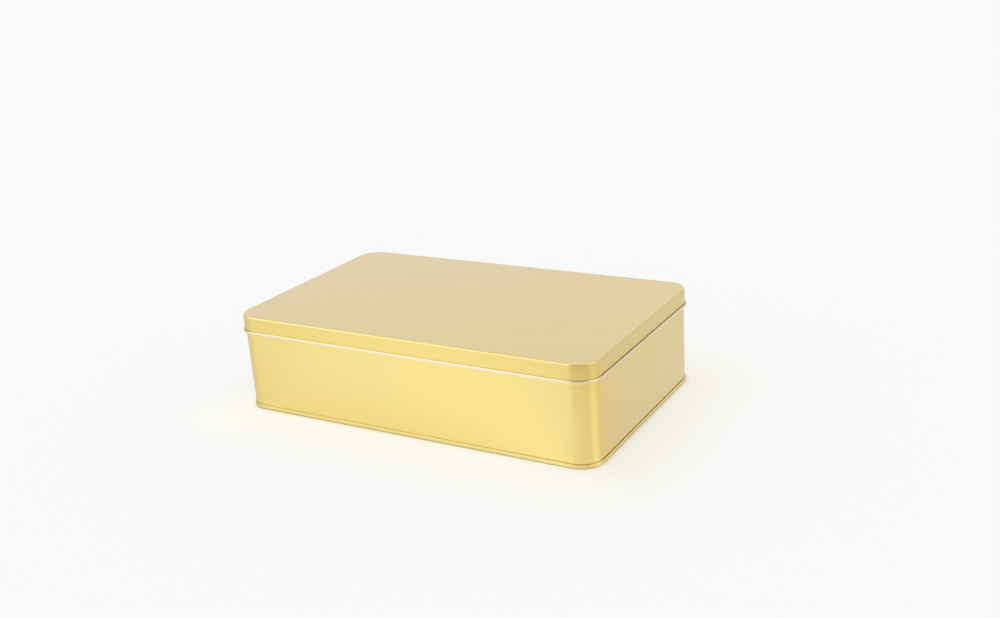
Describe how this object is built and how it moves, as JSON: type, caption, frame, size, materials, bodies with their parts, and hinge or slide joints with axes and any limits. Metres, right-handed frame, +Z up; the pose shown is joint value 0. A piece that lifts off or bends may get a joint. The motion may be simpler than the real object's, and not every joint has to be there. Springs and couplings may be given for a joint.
{
  "type": "gift tin",
  "caption": "Shut rectangular tin with rounded corners, a flat slip lid with a rolled lower edge, and a seamed foot",
  "frame": {"origin": "middle of the tin's footprint, on the surface that the foot seam stands on", "axes": "X along the long sides, Y across the short ones with the side seam at plus Y, Z up"},
  "size_m": [0.302, 0.1818, 0.075],
  "materials": {
    "gold_lacquer": "satin gold lacquer on tinplate",
    "lid_gold_lacquer": "satin gold lacquer on tinplate",
    "bare_tinplate": "bright bare tinplate on the lid's rolled edge"
  },
  "bodies": {
    "root": {"bottom_end": "gold_lacquer", "tin_body": "gold_lacquer", "lid": "lid_gold_lacquer"}
  },
  "joints": []
}
